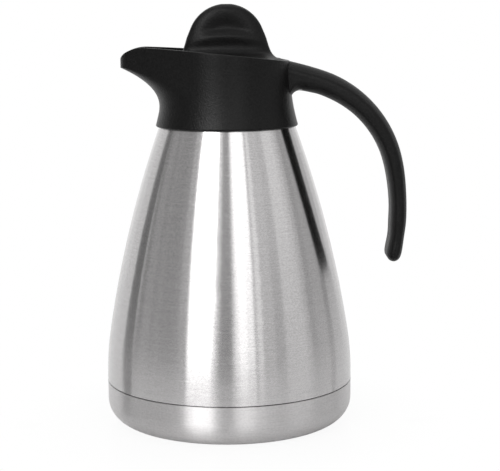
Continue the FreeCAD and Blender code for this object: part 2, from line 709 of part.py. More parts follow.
collar_hollow = new_body("collar_hollow")
channel_floor = "(deck_top + collar_fit)"
channel_end = "(spout_edge + spout_floor)"
hollow_sections = []
for index, share in enumerate((0, 0.3, 0.6, 0.8, 1)):
    level = between(channel_floor, channel_end, share)
    throw = f"({spout_throw(f'({level} - spout_floor)')} + collar_wall - spout_wall)"
    hollow_sections.append(teardrop(collar_hollow, f"hollow_section_{index}", level, "collar_inside", throw))
loft(collar_hollow, "channel", hollow_sections)
pad(collar_hollow, "channel_upper", hollow_sections[-1], "rim_front_rise")
hook_top = "(skirt_foot - collar_fit)"
hook_foot = f"({hook_top} - hook_height)"
hook_under = f"({hook_foot} - hook_drop)"
turn(collar_hollow, "collar_bore", [
    ("0", channel_floor),
    ("insert_bore", channel_floor),
    ("insert_bore", hook_top),
    ("insert_bore - hook_reach", hook_top),
    ("insert_bore - hook_reach", hook_foot),
    (f"{collar_outside(hook_under)} - hook_wall", hook_under),
    (lip_bore, "lip_height"),
    ("0", "lip_height"),
])

seat_start = ("thread_root", "-seat_half", "seat_low")
seat_end = ("insert_bore", "seat_half", "deck_under + collar_fit")
screw_seat = box("screw_seat", seat_start, seat_end)
screw_sides = (("left", "-screw_spread"), ("right", "screw_spread"))
screw_holes = []
for side, place in screw_sides:
    hole = lying_cylinder(f"screw_hole_{side}", "screw_shank + screw_fit", "screw_length + screw_fit * 2",
                          "insert_bore - screw_fit", place, "screw_height")
    screw_holes.append(hole)
collar_tools = joined("collar_tools", [collar_hollow, screw_seat] + screw_holes)
doc.recompute()
collar_sharp = cut("collar_sharp", collar_blank, collar_tools)


def rim_edges(shape):
    """Numbers of the edges round the rim, which is curved about the Y axis only."""
    seen = {}
    for face in shape.Faces:
        surface = face.Surface
        if isinstance(surface, Part.Cylinder) and abs(surface.Axis.y) > 0.999:
            for edge in face.Edges:
                number = next(index for index, other in enumerate(shape.Edges, 1) if other.isSame(edge))
                seen[number] = seen.get(number, 0) + 1
    return [number for number, count in seen.items() if count == 1]


def lip_edges(shape):
    """Numbers of the outer edges at the collar's lower end."""
    inside_edge = size(f"{lip_bore} + lip_wall / 2")
    numbers = []
    for number, edge in enumerate(shape.Edges, 1):
        middle = edge.valueAt((edge.FirstParameter + edge.LastParameter) / 2)
        is_low = abs(edge.BoundBox.ZMax - size("lip_height")) < 1e-3
        if is_low and math.hypot(middle.x, middle.y) > inside_edge:
            numbers.append(number)
    return numbers


collar = doc.addObject("Part::Fillet", "collar")
collar.Base = collar_sharp
rounded_edges = []
for alias, edge_numbers in (("rim_round", rim_edges), ("lip_round", lip_edges)):
    rounding = size(alias)
    rounded_edges += [(number, rounding, rounding) for number in edge_numbers(collar_sharp.Shape)]
collar.Edges = rounded_edges
doc.recompute()


# Handle.
arch_length = "(arch_radius * arch_angle * pi / 180)"
handle_length = f"({arch_length} + grip_arc * (grip_angle - arch_angle) * pi / 180)"
arch_share = f"({arch_length} / {handle_length})"
end_room = "(end_depth / 2 - handle_point)"


def handle_station(share):
    """Angle, place and height of the handle's centre line at a share of its length."""
    if share <= size(arch_share):
        angle = f"(arch_angle * {share} / {arch_share})"
        place = f"(arch_place + arch_radius * sin({angle}))"
        height = f"(arch_height + arch_radius * cos({angle}))"
    else:
        angle = f"(arch_angle + (grip_angle - arch_angle) * ({share} - {arch_share}) / (1 - {arch_share}))"
        place = f"(arch_place + (arch_radius - grip_arc) * sin(arch_angle) + grip_arc * sin({angle}))"
        height = f"(arch_height + (arch_radius - grip_arc) * cos(arch_angle) + grip_arc * cos({angle}))"
    return angle, place, height


def smooth(share):
    """Smooth step from 0 to 1, written out for a share between 0 and 1."""
    return f"({share}^2 * (3 - 2 * {share}))"


def handle_depth(share):
    return f"(root_depth + (end_depth - root_depth) * {smooth(share)})"


def handle_flare(share):
    """Depth added on the inner side near the collar."""
    return f"(root_flare * max(1 - {share} / flare_share; 0) ^ 3)"


def handle_lift(share):
    """Depth added on the outer side near the collar."""
    return f"(root_lift * max(1 - {share} / lift_share; 0) ^ 2)"


def handle_widening(share):
    """Share of the widening from the root to the palm."""
    return smooth(f"min({share} / widen_share; 1)")


def handle_width(share):
    """Width of the handle: it widens towards the palm and narrows a little towards the end."""
    widening = f"(palm_width - root_width) * {handle_widening(share)}"
    fall = f"(max({share} - widen_share; 0) / (1 - widen_share))"
    return f"(root_width + {widening} + (end_width - palm_width) * {fall})"


def handle_crown(share):
    """Reach of the broad faces' rounding, as multiple of its depth."""
    return f"(root_crown + (palm_crown - root_crown) * {handle_widening(share)})"


def stand_across(sketch, share):
    """Stand a section across the handle's centre line: its X points outwards, its Y along +Y."""
    angle, place, height = handle_station(share)
    lean = FreeCAD.Rotation(FreeCAD.Vector(0, 1, 0), 1)
    sketch.AttachmentOffset = FreeCAD.Placement(FreeCAD.Vector(), lean)
    sketch.setExpression(".AttachmentOffset.Base.x", ref(place))
    sketch.setExpression(".AttachmentOffset.Base.z", ref(height))
    sketch.setExpression(".AttachmentOffset.Rotation.Angle", ref(f"{angle} - 90"))


def oval_section(body, name, share, inset="0"):
    """Section with crowned broad faces and rounder sides; the inset makes it smaller towards the end."""
    held = min(share, 1)
    crown = handle_crown(held)
    half = f"({handle_depth(held)} / 2 - {inset})"
    wide = f"({handle_width(held)} / 2 - {inset} * tip_square)"
    deep = f"({half} * (1 - side_flat))"
    outer_side = f"({half} * side_flat + {handle_lift(share)})"
    inner_side = f"({half} * side_flat + {handle_flare(share)})"
    flat = f"({wide} - {deep} * {crown})"
    side_radius = f"({deep} * side_round)"
    bend = f"(({crown}^2 - 2 * {crown} * side_round + 1) / (2 - 2 * side_round))"
    face_radius = f"({deep} * {bend})"
    meet_depth = f"({side_radius} * ({bend} - 1) / ({bend} - side_round))"
    meet_width = f"({wide} - {side_radius} * (1 - ({crown} - side_round) / ({bend} - side_round)))"
    sketch = outline(body, name, "XY_Plane", [
        (f"{outer_side} + {deep}", f"-{flat}"),
        (f"{outer_side} + {deep}", flat, face_radius),
        (f"{outer_side} + {meet_depth}", meet_width, side_radius),
        (outer_side, wide),
        (f"-{inner_side}", wide, side_radius),
        (f"-{inner_side} - {meet_depth}", meet_width, face_radius),
        (f"-{inner_side} - {deep}", flat),
        (f"-{inner_side} - {deep}", f"-{flat}", face_radius),
        (f"-{inner_side} - {meet_depth}", f"-{meet_width}", side_radius),
        (f"-{inner_side}", f"-{wide}"),
        (outer_side, f"-{wide}", side_radius),
        (f"{outer_side} + {meet_depth}", f"-{meet_width}", face_radius),
    ])
    stand_across(sketch, share)
    return sketch


def square_section(body, name, share, inner, outer, half_width):
    sketch = outline(body, name, "XY_Plane", [
        (inner, f"-({half_width})"),
        (outer, f"-({half_width})"),
        (outer, half_width),
        (inner, half_width),
    ])
    stand_across(sketch, share)
    return sketch


def shares(first, last, count):
    return [round(first + (last - first) * step / (count - 1), 4) for step in range(count)]


def strip_along_handle(label, first, last, inner, outer, inset):
    """Strip of square section along the handle, measured from its inner face."""
    body = new_body(label)
    sections = []
    for index, share in enumerate(shares(first, last, 9)):
        face = f"(-{handle_depth(share)} / 2)"
        half_width = f"({handle_width(share)} / 2 - {inset})"
        low = f"({face} + {inner})"
        high = f"({face} + {outer})" if outer else f"(-{face} - core_wall)"
        sections.append(square_section(body, f"{label}_section_{index}", share, low, high, half_width))
    loft(body, label + "_loft", sections)
    return body


handle_blank = new_body("handle_blank")
handle_sections = []
handle_shares = (0, 0.0144, 0.0288, 0.042, 0.055, 0.08, 0.12, 0.2, 0.3, 0.4, 0.5, 0.6, 0.7, 0.8, 0.9, 1)
for index, share in enumerate(handle_shares):
    handle_sections.append(oval_section(handle_blank, f"handle_section_{index}", share))
for index, angle in enumerate((24, 46, 64, 77, 85)):
    beyond = size(f"1 + handle_tip * sin({angle}) / {handle_length}")
    inset = f"({end_room} * (1 - cos({angle})))"
    handle_sections.append(oval_section(handle_blank, f"handle_end_{index}", beyond, inset))
loft(handle_blank, "handle_loft", handle_sections)

cover_recess = strip_along_handle("cover_recess", 0.2, 0.93,
                                  "(-cover_depth)", "(cover_depth + cover_fit)", "cover_edge")
handle_core = strip_along_handle("handle_core", 0.22, 0.91,
                                 "cover_depth", "", "(cover_edge + cover_ledge)")
cover_strip = strip_along_handle("cover_strip", 0.202, 0.928,
                                 "(-cover_depth)", "cover_depth", "(cover_edge + cover_fit)")
handle_tools = joined("handle_tools", [collar_blank, cover_recess, handle_core] + screw_holes)
doc.recompute()
handle_shell = cut("handle_shell", handle_blank, handle_tools)
handle_cover = common("handle_cover", handle_blank, cover_strip)


def screw(label, shank, head, head_depth, length):
    """Screw along +Z: the shank starts at its own origin, the head lies below it."""
    return turned_body(label, [
        ("0", f"-{head_depth}"),
        (head, f"-{head_depth}"),
        (head, "0"),
        (shank, "0"),
        (shank, length),
        ("0", length),
    ])


handle_screws = []
for side, place in screw_sides:
    item = screw(f"handle_screw_{side}", "screw_shank", "screw_head", "screw_head_depth", "screw_length")
    item.Placement.Rotation = FreeCAD.Rotation(FreeCAD.Vector(0, 1, 0), 90)
    move(item, "insert_bore - screw_fit", place, "screw_height")
    handle_screws.append(item)

# Stopper.
plug_core = "(thread_root - ridge_height - thread_fit)"
plug_crest = "(thread_root - thread_fit)"
plug_neck_bore = "(plug_neck - plug_neck_wall)"
plug_hollow = f"({plug_core} - plug_wall)"

stopper_plug_body = turned_body("plug_turned", [
    ("0", "plug_top"),
    (plug_core, "plug_top"),
    (plug_core, "plug_step"),
    ("plug_neck", "plug_step"),
    ("plug_neck", "plug_foot"),
    (plug_neck_bore, "plug_foot"),
    (plug_neck_bore, "plug_step"),
    (plug_hollow, "plug_step + plug_wall"),
    (plug_hollow, "plug_under"),
    ("0", "plug_under"),
])
ridge(stopper_plug_body, "plug_ridge", plug_core, plug_crest, "(thread_start - thread_lead / 4)")

cap_screw_sides = (("left", "-cap_screw_spread"), ("right", "cap_screw_spread"))
cap_screw_holes = []
for side, place in cap_screw_sides:
    hole = cylinder(f"cap_screw_hole_{side}", "cap_screw_shank + screw_fit",
                    "cap_screw_length + screw_fit * 2", x=place, z="plug_under - screw_fit")
    cap_screw_holes.append(hole)
cap_holes = joined("cap_holes", cap_screw_holes)
doc.recompute()
stopper_plug = cut("stopper_plug", stopper_plug_body, cap_holes)

base_top = "plug_foot"
base_foot = "(plug_foot - base_depth)"
spigot_outside = f"({plug_neck_bore} - base_fit)"
spigot_inside = f"({spigot_outside} - base_spigot_wall)"
stopper_base = turned_body("stopper_base", [
    ("0", base_foot),
    ("base_flange - base_round", base_foot, "base_round"),
    ("base_flange", f"{base_foot} + base_round"),
    ("base_flange", base_top),
    (spigot_outside, base_top),
    (spigot_outside, f"{base_top} + base_spigot"),
    (spigot_inside, f"{base_top} + base_spigot"),
    (spigot_inside, f"{base_foot} + base_plate"),
    ("0", f"{base_foot} + base_plate"),
])

seal_low = f"({base_top} + seal_fit)"
seal_high = "(plug_step - seal_fit)"
stopper_seal = turned_body("stopper_seal", [
    ("plug_neck + seal_fit", seal_low),
    ("seal_body", seal_low),
    ("seal_radius", f"{seal_low} + seal_lip"),
    ("seal_body", f"{seal_low} + seal_lip * 2"),
    ("seal_body", f"{seal_high} - seal_lip * 2"),
    ("seal_radius", f"{seal_high} - seal_lip"),
    ("seal_body", seal_high),
    ("plug_neck + seal_fit", seal_high),
])

foam_foot = f"({base_top} + base_spigot + foam_fit)"
stopper_foam = cylinder("stopper_foam", f"{plug_neck_bore} - foam_fit",
                        f"foam_top - {foam_foot}", z=foam_foot)

groove_top = "(plug_top + oring_thickness * 2 + oring_fit)"
disc = turned_body("cap_disc", [
    ("0", "plug_top"),
    ("oring_radius - oring_thickness - oring_fit", "plug_top"),
    ("oring_radius - oring_thickness - oring_fit", groove_top),
    ("oring_radius + oring_thickness + oring_fit", groove_top),
    ("oring_radius + oring_thickness + oring_fit", "plug_top"),
    ("disc_radius", "plug_top"),
    ("disc_radius", "disc_edge", "disc_rise"),
    ("disc_shoulder", "disc_top"),
    ("0", "disc_top"),
])


grip_base = size("disc_top - grip_sink")
grip_top = size("grip_centre + grip_radius")


def grip_straight(height):
    """Half the length of the grip at a height, without the flare into the disc."""
    centre = size("grip_centre")
    radius = size("grip_radius")
    splay = size("grip_splay")
    lean = math.atan2(1, splay)
    tangent_height = centre + radius * math.cos(lean)
    if height >= tangent_height:
        return math.sqrt(max(radius ** 2 - (height - centre) ** 2, 0))
    join = size("grip_join")
    straight = radius * math.sin(lean) + splay * (tangent_height - max(height, join))
    return straight + size("grip_ease") * max(join - height, 0)


def grip_ends(height):
    """Half the length of the grip at a height."""
    flare = size("grip_foot") - grip_straight(grip_base)
    return grip_straight(height) + flare * math.exp((grip_base - height) / size("grip_flare_rise"))


def grip_drop(x):
    """Fall of the face's features at a distance from the middle."""
    return size("grip_bow") * (x / size("grip_radius")) ** 2


def grip_faces(x, height):
    """Half the thickness of the grip at a place on its face, without the dish."""
    waist = size("grip_waist")
    crown_start = size("grip_crown_start")
    closing = max(height - crown_start, 0) / (size("grip_round_start") - crown_start)
    half = waist + (size("grip_crown") - waist) * min(closing, 1)
    away = (height + grip_drop(x) - size("grip_ridge")) / size("grip_ridge_span")
    half += size("grip_swell") * math.exp(-away ** 2)
    half += (size("grip_foot") - waist) * math.exp((grip_base - height) / size("grip_face_rise"))
    over = max(height - size("grip_round_start"), 0) / (grip_top - size("grip_round_start"))
    return half * math.sqrt(max(1 - over ** 2, 0))


def eased(share):
    """Smooth step from 0 to 1."""
    held = min(max(share, 0), 1)
    return held * held * (3 - 2 * held)


def grip_dish(x, height):
    """Share of the thickness that the half-moon dish takes away at a place on the face."""
    above = max(height - size("grip_centre"), 0)
    inside = size("grip_dish_radius") - math.hypot(x, above)
    upwards = height + grip_drop(x) - size("grip_dish_foot")
    below_rim = eased(inside / size("grip_dish_slope"))
    above_ridge = eased(upwards / size("grip_dish_step"))
    return size("grip_dish") * below_rim * above_ridge


def grip_section(height):
    """Level section of the grip: round at the disc, squarer and dished above it."""
    along = grip_ends(height)
    fade = math.exp((grip_base - height) / size("grip_flare_rise"))
    power = 2 / (size("grip_square") + (2 - size("grip_square")) * fade)
    points = []
    count = 40
    for step in range(count):
        turn_angle = 2 * math.pi * (step + 0.5) / count
        cosine = math.cos(turn_angle)
        sine = math.sin(turn_angle)
        x = along * math.copysign(abs(cosine) ** power, cosine)
        half = grip_faces(x, height) * (1 - grip_dish(x, height))
        y = half * math.copysign(abs(sine) ** power, sine)
        points.append(FreeCAD.Vector(x, y, height))
    curve = Part.BSplineCurve()
    curve.interpolate(Points=points, PeriodicFlag=True)
    return Part.Wire(curve.toShape())


foot_levels = [grip_base + step for step in (0, 0.5, 1.1, 1.9, 3, 4.5)]
top_levels = [grip_top - step for step in (5.6, 4, 2.6, 1.4, 0.6, 0.15)]
face_levels = shares(foot_levels[-1], top_levels[0], 13)[1:-1]
grip_heights = foot_levels + face_levels + top_levels
grip = doc.addObject("Part::Feature", "cap_grip")
grip.Shape = Part.makeLoft([grip_section(height) for height in grip_heights], True, False)
cap_solid = joined("cap_solid", [disc, grip])
doc.recompute()
stopper_cap = cut("stopper_cap", cap_solid, cap_holes)

stopper_oring = doc.addObject("Part::Torus", "stopper_oring")
stopper_oring.setExpression("Radius1", ref("oring_radius"))
stopper_oring.setExpression("Radius2", ref("oring_thickness"))
move(stopper_oring, z="plug_top + oring_thickness + oring_fit / 2")

stopper_screws = []
for side, place in cap_screw_sides:
    item = screw(f"stopper_screw_{side}", "cap_screw_shank", "cap_screw_head", "cap_screw_head_depth",
                 "cap_screw_length")
    move(item, x=place, z="plug_under - screw_fit / 2")
    stopper_screws.append(item)

doc.recompute()

NODES = [
    outer_shell, base_cup, inner_vessel, vacuum_bottom, seal_tip, getter_cup, getter_pellet,
    neck_gasket, neck_insert, collar, handle_shell, handle_cover, *handle_screws,
    stopper_seal, stopper_cap, stopper_plug, stopper_base, stopper_foam, stopper_oring, *stopper_screws,
]

for item in doc.Objects:
    if "Invalid" in item.State or "Error" in item.State:
        raise RuntimeError(f"{item.Label}: {item.State}")
os.makedirs("parts", exist_ok=True)
for item in NODES:
    shape = item.Shape
    if shape.isNull() or not shape.isValid() or not shape.Solids:
        raise RuntimeError(f"{item.Label}: shape is not a valid solid")
    shape.exportStep(f"parts/{item.Label}.step")
    print(item.Label, len(shape.Solids), round(shape.Volume, 1))
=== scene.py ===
import math

import bpy
from mathutils import Matrix

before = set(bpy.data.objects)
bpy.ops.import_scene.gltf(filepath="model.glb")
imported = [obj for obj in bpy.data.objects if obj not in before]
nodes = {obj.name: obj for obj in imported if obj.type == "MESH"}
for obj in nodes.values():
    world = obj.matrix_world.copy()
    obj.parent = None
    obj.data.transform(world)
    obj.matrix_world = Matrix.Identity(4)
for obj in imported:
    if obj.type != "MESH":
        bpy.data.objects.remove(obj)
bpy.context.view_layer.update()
scene = bpy.context.scene

WHITE = (1, 1, 1, 1)


class Tree:
    """Node tree with a few helpers."""

    def __init__(self, tree):
        self.nodes = tree.nodes
        self.links = tree.links

    def add(self, kind, **settings):
        """New node with some of its properties set."""
        node = self.nodes.new(kind)
        for name, value in settings.items():
            setattr(node, name, value)
        return node

    def join(self, output, socket):
        self.links.new(output, socket)

    def ranged(self, value, first, last, low, high, course="LINEAR"):
        """Go from low to high while a value goes from first to last."""
        node = self.add("ShaderNodeMapRange", interpolation_type=course)
        node.inputs["From Min"].default_value = first
        node.inputs["From Max"].default_value = last
        node.inputs["To Min"].default_value = low
        node.inputs["To Max"].default_value = high
        self.join(value, node.inputs["Value"])
        return node.outputs["Result"]


class Shader(Tree):
    """A principled material whose textures follow the piece's own coordinates, in metres."""

    # Values that a noise seldom leaves.
    NOISE_SPAN = (0.25, 0.75)
    # Values of a noise at which the darkest and the lightest shade are reached.
    SHADE_SPAN = (0.3, 0.7)

    def __init__(self, name, colour, roughness, metallic=0.0):
        self.material = bpy.data.materials.new(name)
        self.material.use_nodes = True
        super().__init__(self.material.node_tree)
        self.surface = self.nodes["Principled BSDF"]
        self.set("Base Color", (*colour, 1))
        self.set("Roughness", roughness)
        self.set("Metallic", metallic)
        self.place = self.add("ShaderNodeTexCoord").outputs["Object"]

    def set(self, socket, value):
        self.surface.inputs[socket].default_value = value

    def noise(self, cell, detail=3.0, rough=0.55):
        """Noise between 0 and 1 whose cells have these sizes along X, Y and Z."""
        stretch = self.add("ShaderNodeMapping")
        stretch.inputs["Scale"].default_value = [1 / size for size in cell]
        self.join(self.place, stretch.inputs["Vector"])
        texture = self.add("ShaderNodeTexNoise")
        texture.inputs["Scale"].default_value = 1
        texture.inputs["Detail"].default_value = detail
        texture.inputs["Roughness"].default_value = rough
        self.join(stretch.outputs["Vector"], texture.inputs["Vector"])
        return texture.outputs["Fac"]

    def blend(self, first, second, share):
        """Mean of two values, with a share of the second."""
        mixed = self.add("ShaderNodeMix")
        mixed.inputs["Factor"].default_value = share
        self.join(first, mixed.inputs["A"])
        self.join(second, mixed.inputs["B"])
        return mixed.outputs["Result"]

    def tint(self, value, colour, dark, light):
        """Base colour between a dark and a light share of a colour."""
        ramp = self.add("ShaderNodeValToRGB")
        for stop, position, share in zip(ramp.color_ramp.elements, self.SHADE_SPAN, (dark, light)):
            stop.position = position
            stop.color = (*(part * share for part in colour), 1)
        self.join(value, ramp.inputs["Fac"])
        self.join(ramp.outputs["Color"], self.surface.inputs["Base Color"])

    def polish(self, value, roughness, least, most):
        """Roughness between two shares of its mean."""
        varied = self.ranged(value, *self.NOISE_SPAN, roughness * least, roughness * most)
        self.join(varied, self.surface.inputs["Roughness"])

    def paint_shade_below(self, height, colour):
        """Paint what lies below a height in another colour, as painted shade."""
        place = self.add("ShaderNodeSeparateXYZ")
        self.join(self.place, place.inputs["Vector"])
        above = self.add("ShaderNodeMath", operation="GREATER_THAN")
        above.inputs[1].default_value = height
        self.join(place.outputs["Z"], above.inputs[0])
        # Painted shade: the dark colour is mixed over the base colour below the height.
        shade_mix = self.add("ShaderNodeMix", data_type="RGBA")
        base = self.surface.inputs["Base Color"]
        colours = [socket for socket in shade_mix.inputs if socket.type == "RGBA"]
        colours[0].default_value = (*colour, 1)
        self.join(base.links[0].from_socket, colours[1])
        self.join(above.outputs["Value"], shade_mix.inputs["Factor"])
        mixed = next(socket for socket in shade_mix.outputs if socket.type == "RGBA")
        self.join(mixed, base)

    def relief(self, value, height, strength=1.0):
        """Bump of a given height in metres."""
        bump = self.add("ShaderNodeBump")
        bump.inputs["Strength"].default_value = strength
        bump.inputs["Distance"].default_value = height
        self.join(value, bump.inputs["Height"])
        self.join(bump.outputs["Normal"], self.surface.inputs["Normal"])


class Stage(Tree):
    """Emptied node tree of the floor, the world or a light."""

    def __init__(self, tree):
        tree.nodes.clear()
        super().__init__(tree)

    def number(self, operation, first, second):
        node = self.add("ShaderNodeMath", operation=operation)
        self.join(first, node.inputs[0])
        self.join(second, node.inputs[1])
        return node.outputs["Value"]

    def eased(self, value, first, last, low, high):
        """Smooth step from low to high while a value goes from first to last."""
        return self.ranged(value, first, last, low, high, course="SMOOTHSTEP")

    def seen_white(self, behind):
        """1 for camera rays, and a share for mirrored and transmitted rays.

        The share says how far a place lies behind the object.
        """
        path = self.add("ShaderNodeLightPath").outputs
        mirrored = self.number("MAXIMUM", path["Is Glossy Ray"], path["Is Transmission Ray"])
        mirrored = self.number("MULTIPLY", mirrored, behind)
        return self.number("MAXIMUM", path["Is Camera Ray"], mirrored)


def grey(level):
    """A faintly rosy grey."""
    return (level * 1.02, level, level * 1.002)


def cube(size):
    return (size, size, size)


# Grey level of the painted shade in the seam, standing in for the shadow in the gap.
SEAM_SHADE_LEVEL = 0.03
# Scratches to the length of a brush stroke, and their width in strokes.
SCRATCHES_PER_STROKE = 10
SCRATCH_WIDTH = 1.5
# A quarter turn lays the highlight across the strokes.
QUARTER_TURN = 0.25


def brushed_steel(name, level, roughness, stroke, line, shaded_below=None):
    """Steel brushed round the Z axis, with strokes that are long round it and fine along it.

    Below a height in metres, painted shade darkens the steel, standing in for the shadow in the
    open seam.
    """
    shader = Shader(name, grey(level), roughness, metallic=1.0)
    long_strokes = shader.noise((stroke, stroke, line), detail=3.0, rough=0.6)
    scratch = stroke / SCRATCHES_PER_STROKE
    scratches = shader.noise((scratch, scratch, line * SCRATCH_WIDTH), detail=2.0)
    strokes = shader.blend(long_strokes, scratches, share=0.6)
    shader.tint(strokes, grey(level), dark=0.87, light=1.13)
    # Painted shade: the steel below the seam's top is darkened in place of the gap's shadow.
    if shaded_below is not None:
        shader.paint_shade_below(shaded_below, grey(SEAM_SHADE_LEVEL))
    shader.polish(strokes, roughness, least=0.94, most=1.06)
    shader.relief(strokes, height=line * 0.01, strength=0.025)
    shader.set("Anisotropic", 0.96)
    shader.set("Anisotropic Rotation", QUARTER_TURN)
    round_axis = shader.add("ShaderNodeTangent", direction_type="RADIAL", axis="Z")
    shader.join(round_axis.outputs["Tangent"], shader.surface.inputs["Tangent"])
    return shader.material


def plain_metal(name, colour, roughness, cell):
    """Metal with a soft mottle."""
    shader = Shader(name, colour, roughness, metallic=1.0)
    mottle = shader.noise(cube(cell), detail=4.0)
    shader.tint(mottle, colour, dark=0.88, light=1.06)
    shader.polish(mottle, roughness, least=0.8, most=1.25)
    shader.relief(mottle, height=cell * 0.01, strength=0.3)
    return shader.material


def moulded_plastic(name, level, roughness, grain, depth):
    """Black moulding with a fine grain and a faint unevenness of its sheen."""
    shader = Shader(name, grey(level), roughness)
    fine = shader.noise(cube(grain), detail=2.0)
    broad = shader.noise(cube(0.02), detail=2.0)
    shader.tint(fine, grey(level), dark=0.2, light=1.8)
    shader.polish(broad, roughness, least=0.94, most=1.06)
    shader.relief(fine, height=depth)
    shader.set("Specular IOR Level", 0.175)
    shader.set("Sheen Weight", 0.02)
    shader.set("Sheen Roughness", 0.3)
    return shader.material


def soft_rubber(name, colour):
    """Slightly clouded silicone."""
    shader = Shader(name, colour, roughness=0.45)
    cloud = shader.noise(cube(0.004))
    shader.tint(cloud, colour, dark=0.94, light=1.0)
    skin = shader.noise(cube(0.0004), detail=2.0)
    shader.relief(skin, height=0.00001, strength=0.4)
    shader.set("Subsurface Weight", 0.15)
    shader.set("Subsurface Radius", cube(0.002))
    shader.set("Subsurface Scale", 1.0)
    return shader.material


def cellular_foam(name, colour, cells_per_metre):
    """Foam with fine cells."""
    shader = Shader(name, colour, roughness=0.85)
    cells = shader.add("ShaderNodeTexVoronoi")
    cells.inputs["Scale"].default_value = cells_per_metre
    shader.join(shader.place, cells.inputs["Vector"])
    shader.tint(cells.outputs["Distance"], colour, dark=0.82, light=1.0)
    shader.relief(cells.outputs["Distance"], height=0.0004, strength=0.6)
    return shader.material


def pressed_powder(name, level):
    """Dull, speckled metal powder."""
    shader = Shader(name, grey(level), roughness=0.75, metallic=0.6)
    specks = shader.noise(cube(0.0005), detail=5.0, rough=0.7)
    shader.tint(specks, grey(level), dark=0.6, light=1.3)
    shader.relief(specks, height=0.0001, strength=0.6)
    return shader.material


# Height of the open seam's upper edge, in metres.
SEAM_TOP = 0.02351
# Grey levels of the outer and the inner mouldings, and their grains in metres.
BLACK, NEAR_BLACK = 0.0030, 0.020
GRAINED = {"grain": 0.0009, "depth": 0.00018}
SATIN = {"grain": 0.0006, "depth": 0.00002}
# Length and width of the brush strokes, in metres.
FINE_BRUSH = {"stroke": 0.012, "line": 0.0005}
COARSE_BRUSH = {"stroke": 0.03, "line": 0.0010}

# Material slots of the record.
FINISHES = {
    # The body's steel carries painted shade below the seam's top.
    "steel_body": brushed_steel("steel_body", 0.57, 0.20, **FINE_BRUSH, shaded_below=SEAM_TOP),
    "steel_base": brushed_steel("steel_base", 0.60, 0.36, **FINE_BRUSH),
    "steel_liner": brushed_steel("steel_liner", 0.56, 0.36, **COARSE_BRUSH),
    "seal_metal": plain_metal("seal_metal", (0.62, 0.54, 0.34), 0.4, cell=0.002),
    "getter_metal": pressed_powder("getter_metal", 0.25),
    "silicone": soft_rubber("silicone", (0.80, 0.80, 0.78)),
    "insert_plastic": moulded_plastic("insert_plastic", NEAR_BLACK, 0.40, **SATIN),
    "collar_plastic": moulded_plastic("collar_plastic", BLACK, 0.35, **GRAINED),
    "handle_plastic": moulded_plastic("handle_plastic", BLACK, 0.44, **GRAINED),
    "cover_plastic": moulded_plastic("cover_plastic", BLACK, 0.44, **SATIN),
    "stopper_plastic": moulded_plastic("stopper_plastic", BLACK, 0.44, **GRAINED),
    "plug_plastic": moulded_plastic("plug_plastic", NEAR_BLACK, 0.40, **SATIN),
    "foam": cellular_foam("foam", (0.88, 0.86, 0.80), cells_per_metre=900),
    "screw_steel": plain_metal("screw_steel", (0.60, 0.60, 0.61), 0.3, cell=0.0015),
}

# Nodes that wear each of them.
WEARERS = {
    "steel_body": ["outer_shell"],
    "steel_base": ["base_cup"],
    "steel_liner": ["inner_vessel", "vacuum_bottom"],
    "seal_metal": ["seal_tip"],
    "getter_metal": ["getter_pellet"],
    "silicone": ["neck_gasket", "stopper_seal", "stopper_oring"],
    "insert_plastic": ["neck_insert"],
    "collar_plastic": ["collar"],
    "handle_plastic": ["handle_shell"],
    "cover_plastic": ["handle_cover"],
    "stopper_plastic": ["stopper_cap"],
    "plug_plastic": ["stopper_plug", "stopper_base"],
    "foam": ["stopper_foam"],
    "screw_steel": [
        "getter_cup", "handle_screw_left", "handle_screw_right",
        "stopper_screw_left", "stopper_screw_right",
    ],
}

for slot_name, wearers in WEARERS.items():
    for name in wearers:
        piece = nodes[name]
        piece.data.materials.clear()
        piece.data.materials.append(FINISHES[slot_name])


# Studio: a pale floor, a white backdrop, and upright light panels and cards round the object.
# Azimuths are in degrees. 0 is the camera's side, negative to the left.
PANEL_DISTANCE = 1.3
PANEL_HEIGHTS = (0.0, 0.4, 1.5)
# Factors at these heights for an edge that mirrors as a straight line in the tapering body.
LEAN = (0.95, 1.01, 1.18)


def leaning(azimuth):
    """Azimuths of a leaning edge at the panels' heights."""
    return tuple(factor * azimuth for factor in LEAN)


def upright(azimuth):
    """Azimuths of an upright edge at the panels' heights."""
    return (azimuth, azimuth, azimuth)


# Edges that are used more than once, or that lean in a way of their own.
REAR_LEFT = upright(-117)
REAR_RIGHT = (-101.5, -104.3, -107)
REAR_END = (-98.5, -101.5, -104)
KEY_LEFT = leaning(-40.2)
KEY_RIGHT = (-17, -13.2, -13.4)
KEY_END = (-12, -8, -7)
STRIP_EDGE = (2.4, 3.6, 0.6)
STRIP_LEFT = (5.2, 6.4, 2.6)
SIDE_LEFT = upright(109.5)
SIDE_RIGHT = upright(117.5)

